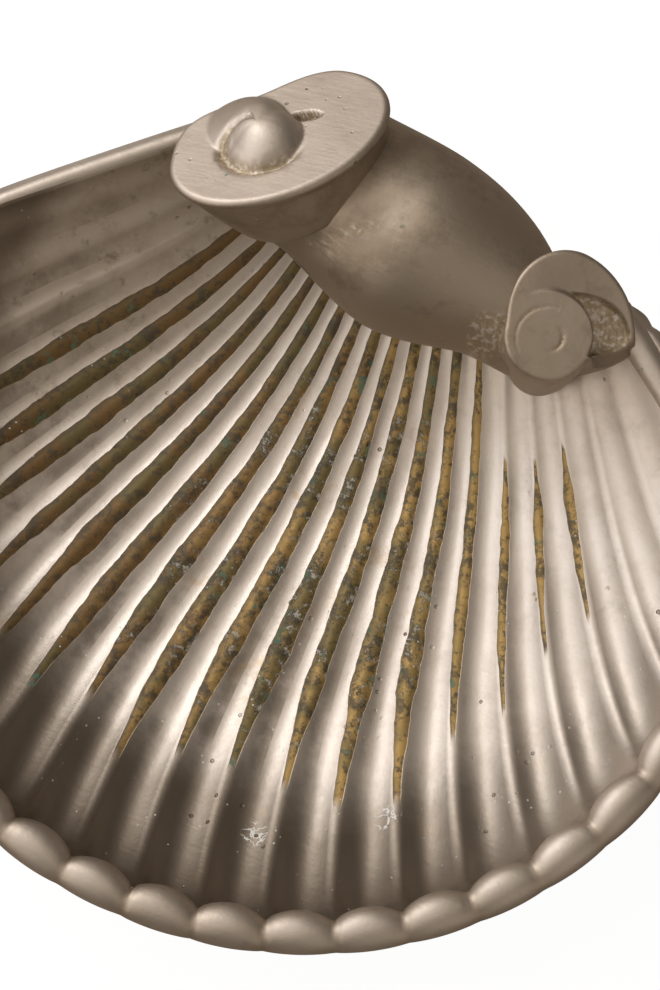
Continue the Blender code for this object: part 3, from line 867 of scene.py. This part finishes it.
def cast_plate():
    """Rim, scroll and outside: duller plate, pitted, with gilt showing in the rough places."""
    material, nodes, shader = new_material("cast_plate")
    point = nodes.object_point()
    recess = nodes.add("ShaderNodeAttribute", {"attribute_name": "rough_cast"}, {}, "Fac")
    dulled_and_shaded = nodes.add("ShaderNodeAttribute", {"attribute_name": "dulled_and_shaded"}, {}, "Fac")
    dents, grain, pits, scratches = cast_surface(nodes, point)
    broad = nodes.noise(point, 38.0, 3.0, 0.55)
    smear = nodes.noise(point, 170.0, 3.0, 0.6)
    darkened = (broad * 0.9 + smear * 0.3 - 0.05).at_most(1.0).at_least(0.0)
    colour = nodes.mix(PLATE, PLATE_DULL, darkened)
    # Darker plate by the painted attribute: on the scroll's body and the right volute, and as painted
    # shade in the rim's notches and under its rolls.
    colour = nodes.mix(colour, PLATE_DULLED_AND_SHADED, dulled_and_shaded * (0.55 + broad * 0.6).at_most(1.0))
    clouds = nodes.noise(point, 110.0, 6.0, 0.7).step(0.48, 0.66)
    colour = nodes.mix(colour, PLATE_DARK, clouds * dulled_and_shaded * 0.45)
    spots = (pits * 0.7 + smear.step(0.62, 0.78) * 0.3).at_most(1.0)
    colour = nodes.mix(colour, PLATE_DARK, spots)
    crumbs = nodes.noise(point, 1100.0, 3.0, 0.6)
    gilt = nodes.mix(ROUGH_GILT, PLATE, crumbs.step(0.45, 0.65))
    colour = nodes.mix(colour, gilt, recess.step(0.05, 0.4) * 0.85)
    # Painted shade: the deepest recesses, such as the slot beside the nose, are darkened.
    shadow = recess.step(0.75, 1.0) * 0.9 * crumbs.step(0.70, 0.50)
    colour = nodes.mix(colour, TARNISH_AND_SHADE, shadow)
    green = nodes.noise(point, 300.0, 3.0, 0.6).step(0.66, 0.71)
    green = green * nodes.noise(point, 50.0).step(0.56, 0.66)
    colour = nodes.mix(colour, VERDIGRIS, green * 0.7)
    rough = 0.45 + grain * 0.12 + recess * 0.2 + pits * 0.2 + green * 0.3
    sink = dents * 0.7 + grain * 0.14 - pits * 0.9 + scratches * 0.12 + crumbs * recess * 1.4
    nodes.connect(colour, shader.inputs["Base Color"])
    nodes.connect(1.0 - green * 0.8, shader.inputs["Metallic"])
    nodes.connect(rough, shader.inputs["Roughness"])
    nodes.connect(bumped(nodes, sink), shader.inputs["Normal"])
    return material


def make_floor():
    """A plain pale floor. The camera sees it nearly white, with the dish's shadow on it."""
    bpy.ops.mesh.primitive_plane_add(size=6.0)
    floor = bpy.context.object
    floor.name = "floor"
    material = bpy.data.materials.new("pale_floor")
    material.use_nodes = True
    tree = material.node_tree
    tree.nodes.clear()
    nodes = Nodes(tree)
    path = nodes.add("ShaderNodeLightPath", {}, {}, "Is Camera Ray")
    lit = nodes.add("ShaderNodeBsdfDiffuse", {}, {"Color": (0.10, 0.10, 0.10, 1.0)})
    glow = nodes.add("ShaderNodeEmission", {}, {"Color": WHITE, "Strength": 0.95})
    seen = nodes.add("ShaderNodeAddShader", {}, {})
    for slot, part in zip(seen.socket.node.inputs, (lit, glow)):
        nodes.connect(part, slot)
    other = nodes.add("ShaderNodeBsdfDiffuse", {}, {"Color": (0.30, 0.26, 0.22, 1.0)})
    both = nodes.add("ShaderNodeMixShader", {}, {0: path, 1: other, 2: seen})
    output = tree.nodes.new("ShaderNodeOutputMaterial")
    nodes.connect(both, output.inputs["Surface"])
    floor.data.materials.append(material)


def make_sky():
    """Studio light as a world: bright zones at the left and above, a weaker one at the right."""
    world = bpy.data.worlds.new("studio")
    bpy.context.scene.world = world
    world.use_nodes = True
    tree = world.node_tree
    tree.nodes.clear()
    nodes = Nodes(tree)
    direction = nodes.add("ShaderNodeTexCoord", {}, {}, "Generated")

    def towards(x, y, z, low, high):
        aim = Vector((x, y, z)).normalized()
        dot = nodes.add("ShaderNodeVectorMath", {"operation": "DOT_PRODUCT"},
                        {0: direction, 1: tuple(aim)}, "Value")
        return dot.step(low, high)

    key = towards(-0.95, 0.12, 0.58, 0.66, 0.95)
    back = towards(-0.80, 0.45, 0.50, 0.82, 0.98)
    low = towards(-0.75, -0.55, 0.45, 0.78, 0.97)
    right = towards(0.80, -0.45, 0.45, 0.70, 0.97)
    behind = towards(-0.66, 0.70, 0.26, 0.93, 0.99)
    above = towards(-0.38, 0.10, 0.92, 0.62, 0.95)
    glow = (key * 1.4).at_least(back * 0.8).at_least(low * 1.15).at_least(behind * 1.2)
    glow = 0.14 + glow.at_least(above * 0.74) + right * 0.42
    tint = nodes.mix(WARM_LIGHT, KEY_LIGHT, key)
    lit = nodes.add("ShaderNodeBackground", {}, {"Color": tint, "Strength": glow})
    white = nodes.add("ShaderNodeBackground", {}, {"Color": WHITE, "Strength": 1.0})
    path = nodes.add("ShaderNodeLightPath", {}, {}, "Is Camera Ray")
    both = nodes.add("ShaderNodeMixShader", {}, {0: path, 1: lit, 2: white})
    output = tree.nodes.new("ShaderNodeOutputWorld")
    nodes.connect(both, output.inputs["Surface"])


def make_lamp():
    """A soft square lamp at the back left, aimed at the middle of the dish."""
    lamp = bpy.data.lights.new("key", "AREA")
    lamp.size = LAMP_SIZE
    lamp.energy = LAMP_POWER
    lamp.color = (1.0, 0.97, 0.94)
    thing = bpy.data.objects.new("key", lamp)
    bpy.context.scene.collection.objects.link(thing)
    thing.location = LAMP_AT
    thing.rotation_euler = Vector(LAMP_AT).to_track_quat("Z", "Y").to_euler()


def make_camera():
    """Camera at the photograph's angle: almost from above, turned to the front right."""
    level = math.cos(CAMERA_HEIGHT)
    back = Vector((math.sin(CAMERA_HEADING) * level, -math.cos(CAMERA_HEADING) * level,
                   math.sin(CAMERA_HEIGHT)))
    right = Vector((math.cos(CAMERA_HEADING), math.sin(CAMERA_HEADING), 0.0))
    up = back.cross(right)
    turned_right = right * math.cos(CAMERA_ROLL) + up * math.sin(CAMERA_ROLL)
    turned_up = up * math.cos(CAMERA_ROLL) - right * math.sin(CAMERA_ROLL)
    lens = bpy.data.cameras.new("camera")
    lens.sensor_width = 36.0
    lens.lens = CAMERA_LENS
    lens.clip_start = 0.01
    camera = bpy.data.objects.new("camera", lens)
    bpy.context.scene.collection.objects.link(camera)
    turn = Matrix((turned_right, turned_up, back)).transposed().to_4x4()
    place = HINGE + CAMERA_TARGET + back * CAMERA_DISTANCE
    camera.matrix_world = Matrix.Translation(place) @ turn
    bpy.context.scene.camera = camera


inside = worn_plate()
outside = cast_plate()
make_bowl(inside, outside)
roll_piece("rim_beads", 28, RIDGES * COLUMNS_PER_FLUTE, BEAD_DROP, bead_shape, outside)
roll_piece("rim_edge", 20, RIDGES * 6, EDGE_DROP, edge_shape, outside)
make_scroll(outside)
make_volute(outside)
make_rail(outside)
make_seat(outside)
make_floor()
make_sky()
make_lamp()
make_camera()
bpy.context.scene.view_settings.view_transform = "Standard"
